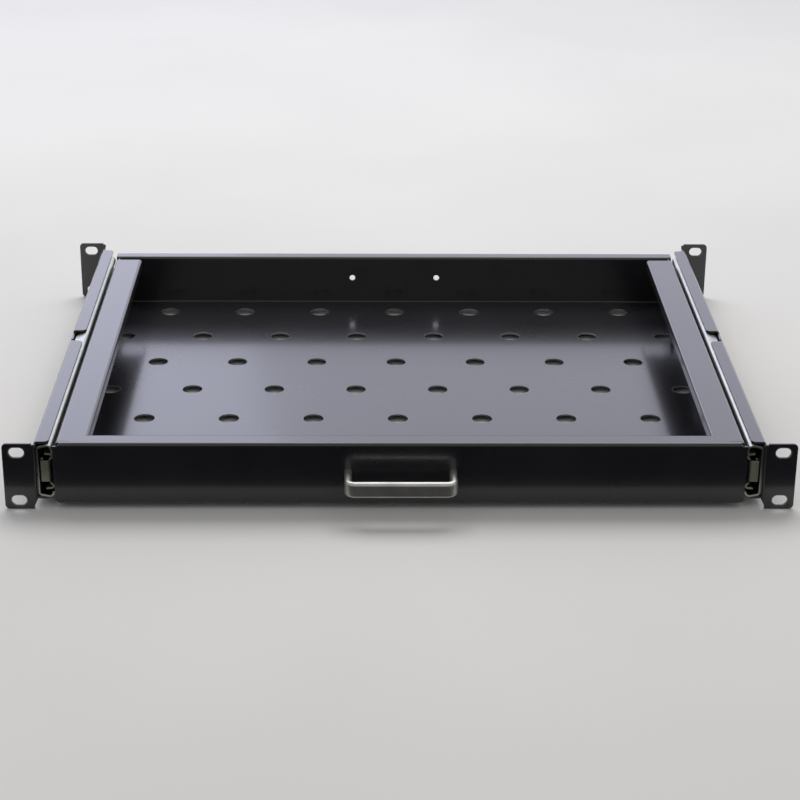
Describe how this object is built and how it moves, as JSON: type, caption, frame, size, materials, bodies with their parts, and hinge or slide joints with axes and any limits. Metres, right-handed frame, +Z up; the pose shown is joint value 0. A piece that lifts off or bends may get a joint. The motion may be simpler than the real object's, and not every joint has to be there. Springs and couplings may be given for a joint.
{
  "type": "sliding rack shelf",
  "caption": "Sliding rack shelf: folded tray with a perforated floor and a bow pull handle, on ball-bearing slides held between slotted rack-ear brackets with adjustable rear supports.",
  "frame": {"origin": "centre of the four slots of the front rack ears, on the ears' front face", "axes": "+X across the rack to the right seen from the front, +Y from front to rear, +Z up; the tray pulls out along -Y"},
  "size_m": [0.4826, 0.3949, 0.0438],
  "materials": {
    "powder_black": "semi-gloss black powder coat",
    "zinc_plate": "bright zinc plate",
    "satin_nickel": "satin nickel plate",
    "bearing_steel": "polished",
    "cage_steel": "passivated",
    "bumper_rubber": "matt"
  },
  "bodies": {
    "frame": {"left_front_bracket": "powder_black", "right_front_bracket": "powder_black", "left_slide_outer_member": "zinc_plate", "right_slide_outer_member": "zinc_plate", "left_slide_bumper": "bumper_rubber", "right_slide_bumper": "bumper_rubber", "front_bracket_screws": "zinc_plate", "rear_clamp_screws": "zinc_plate", "rear_clamp_washers": "zinc_plate"},
    "left_rear_support": {"left_rear_bracket": "powder_black"},
    "right_rear_support": {"right_rear_bracket": "powder_black"},
    "tray": {"tray_pan": "powder_black", "pull_handle": "satin_nickel", "handle_screws": "zinc_plate", "left_slide_inner_member": "zinc_plate", "right_slide_inner_member": "zinc_plate", "tray_slide_screws": "zinc_plate"},
    "ball_cages": {"left_ball_cage": "cage_steel", "right_ball_cage": "cage_steel", "slide_balls": "bearing_steel"}
  },
  "joints": [
    {"name": "tray_slide", "type": "slide", "parent": "frame", "child": "tray", "axis": [0, -1, 0], "range_m": [0, 0.25]},
    {"name": "cage_roll", "type": "slide", "parent": "frame", "child": "ball_cages", "axis": [0, -1, 0], "range_m": [0, 0.125]},
    {"name": "left_rear_adjust", "type": "slide", "parent": "frame", "child": "left_rear_support", "axis": [0, 1, 0], "range_m": [0, 0.06]},
    {"name": "right_rear_adjust", "type": "slide", "parent": "frame", "child": "right_rear_support", "axis": [0, 1, 0], "range_m": [0, 0.06]}
  ],
  "couplings": [
    {"joint": "cage_roll", "follows": "tray_slide", "ratio": 0.5}
  ]
}
